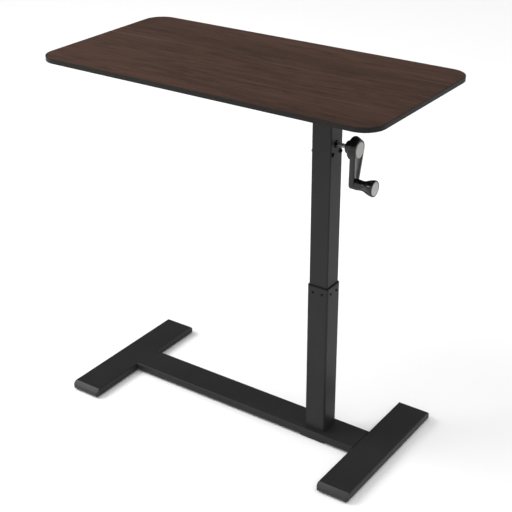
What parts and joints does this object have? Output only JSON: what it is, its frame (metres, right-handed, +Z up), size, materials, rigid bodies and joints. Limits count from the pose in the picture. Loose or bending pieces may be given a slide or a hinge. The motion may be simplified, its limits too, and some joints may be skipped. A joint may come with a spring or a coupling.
{
  "type": "overbed table",
  "caption": "Height-adjustable overbed table: rounded wood-look top on an off-centre telescopic square column, flat H-shaped base and a side crank that drives a lifting screw.",
  "frame": {"origin": "on the floor under the middle of the tabletop", "axes": "+Z up, X along the tabletop's long side with the crank on the +X side, +Y towards the rear long side"},
  "size_m": [0.8, 0.4, 0.828],
  "materials": {
    "painted_steel": "satin black powder coat",
    "black_plastic": "moulded, lightly textured",
    "black_rubber": "matt",
    "zinc_steel": "zinc plated",
    "black_steel": "black oxide",
    "bushing_brass": "turned",
    "cast_metal": "die cast",
    "gear_steel": "machined, greased",
    "gloss_black": "glossy moulded",
    "grey_cap": "smooth moulded",
    "wood_core": "fibreboard with a black backing film",
    "wood_laminate": "dark walnut decor laminate",
    "edge_plastic": "satin edge band"
  },
  "bodies": {
    "base": {"foot_left": "painted_steel", "foot_right": "painted_steel", "foot_cap_left_front": "black_plastic", "foot_cap_left_rear": "black_plastic", "foot_cap_right_front": "black_plastic", "foot_cap_right_rear": "black_plastic", "foot_glides": "black_rubber", "base_beam": "painted_steel", "joint_tongue_left": "zinc_steel", "joint_tongue_right": "zinc_steel", "joint_bolts": "zinc_steel", "column_plate": "painted_steel", "beam_spacers": "zinc_steel", "column_bolts": "zinc_steel", "column_block": "zinc_steel", "lower_tube": "painted_steel", "guide_collar": "black_plastic", "guide_rivets": "black_steel", "nut_post": "zinc_steel", "lift_nut": "bushing_brass"},
    "column": {"upper_tube": "painted_steel", "tube_shoe": "black_plastic", "gear_housing": "cast_metal", "gear_cover": "cast_metal", "cover_screws": "zinc_steel", "thrust_bearing": "zinc_steel", "gearbox_screws": "black_steel", "shaft_bush": "black_steel", "head_plate": "painted_steel", "head_bolts": "zinc_steel", "top_rail": "painted_steel", "cross_brace_left": "painted_steel", "cross_brace_right": "painted_steel", "top_screws": "zinc_steel", "top_board": "wood_core", "top_laminate": "wood_laminate", "edge_band": "edge_plastic"},
    "screw": {"lift_screw": "zinc_steel", "screw_gear": "gear_steel"},
    "crank": {"crank_shaft": "zinc_steel", "crank_gear": "gear_steel", "crank_arm": "gloss_black", "hub_cap": "grey_cap", "grip_spindle": "zinc_steel"},
    "grip": {"crank_grip": "gloss_black", "grip_cap": "grey_cap"}
  },
  "joints": [
    {"name": "column_lift", "type": "slide", "parent": "base", "child": "column", "axis": [0, 0, 1], "range_m": [-0.228, 0.022]},
    {"name": "screw_turn", "type": "hinge", "parent": "column", "child": "screw", "pos_m": [0.188, 0, 0.5], "axis": [0, 0, 1], "range_deg": [-990, 10260]},
    {"name": "crank_turn", "type": "hinge", "parent": "column", "child": "crank", "pos_m": [0.2105, 0, 0.7005], "axis": [1, 0, 0], "range_deg": [-990, 10260]},
    {"name": "grip_spin", "type": "hinge", "parent": "crank", "child": "grip", "pos_m": [0.2633, -0.00988, 0.63019], "axis": [1, 0, 0], "continuous": true}
  ],
  "couplings": [
    {"joint": "screw_turn", "follows": "column_lift", "rad_per_m": -785.4},
    {"joint": "crank_turn", "follows": "column_lift", "rad_per_m": -785.4}
  ]
}
